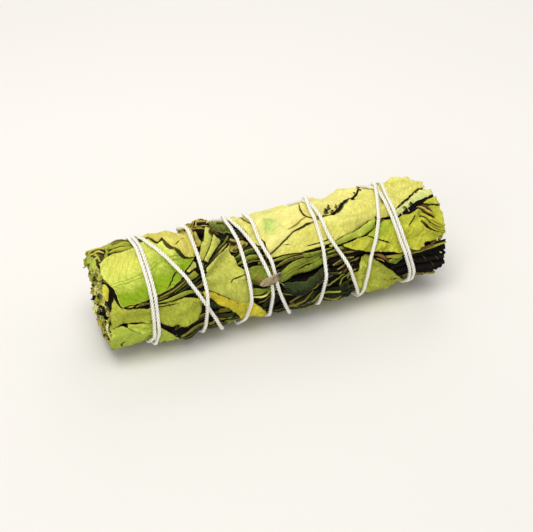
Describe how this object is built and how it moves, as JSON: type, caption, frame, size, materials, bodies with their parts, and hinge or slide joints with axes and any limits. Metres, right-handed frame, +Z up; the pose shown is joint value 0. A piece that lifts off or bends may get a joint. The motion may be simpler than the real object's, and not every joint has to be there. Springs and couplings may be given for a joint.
{
  "type": "sage bunch",
  "caption": "Dried sage leaves rolled into a slim bundle and bound end to end with one crossing cotton string, lying on its side.",
  "frame": {"origin": "middle of the bunch's box in plan, on the surface it lies on", "axes": "+X along the bunch from the cut ends to the leaf tips, +Z up; the pictured side faces -Y"},
  "size_m": [0.1029, 0.037, 0.0323],
  "materials": {
    "pale_yellow": "matt dried leaf, pale yellow with faint green patches and fine veins",
    "yellow_green": "matt dried leaf, yellow-green, wrinkled",
    "green": "matt dried leaf, fresh green with a paler midrib",
    "olive": "matt dried leaf, olive and mottled",
    "pale_green": "matt downy dried leaf, pale grey-green",
    "ochre": "matt dried leaf, ochre with brown spots",
    "dark_green": "crumbled dark-green leaf tips",
    "dark_brown": "dry dark brown leaf",
    "inner": "packed dark-green inner leaves with olive edges",
    "stem": "dry woody stem, straw coloured",
    "bark": "dry brown curled leaf",
    "cotton": "twisted undyed cotton string, slightly hairy"
  },
  "bodies": {
    "root": {"inner_leaves": "inner", "stem_1": "stem", "stem_2": "stem", "stem_3": "stem", "leaf_back_01": "olive", "leaf_back_02": "green", "leaf_back_03": "pale_green", "leaf_back_04": "yellow_green", "leaf_back_05": "olive", "leaf_back_06": "olive", "leaf_back_07": "ochre", "leaf_back_08": "pale_yellow", "leaf_back_09": "yellow_green", "leaf_back_10": "green", "leaf_back_11": "pale_green", "leaf_back_12": "ochre", "leaf_underside_1": "olive", "leaf_underside_2": "pale_yellow", "leaf_underside_3": "green", "leaf_dark_end": "dark_brown", "leaf_olive_mid": "olive", "leaf_green_mid": "green", "leaf_curved_green": "green", "leaf_top_strip": "yellow_green", "leaf_end_curl": "bark", "leaf_mossy_tip": "dark_green", "leaf_folded_left": "pale_green", "leaf_folded_right": "pale_green", "leaf_long_yellow": "pale_yellow", "leaf_point_yellow": "pale_yellow", "leaf_broad_yellow": "pale_yellow", "leaf_ridge_yellow": "pale_yellow", "leaf_slim_strip": "pale_green", "leaf_crumpled_end": "yellow_green", "leaf_right_shoulder": "pale_yellow", "leaf_lower_left": "green", "leaf_slim_left": "yellow_green", "leaf_olive_left": "olive", "leaf_green_left": "green", "leaf_yellow_left": "yellow_green", "leaf_ochre": "ochre", "leaf_pale_square": "pale_green", "leaf_triangle_low": "olive", "string": "cotton", "dried_scrap": "bark"}
  },
  "joints": []
}
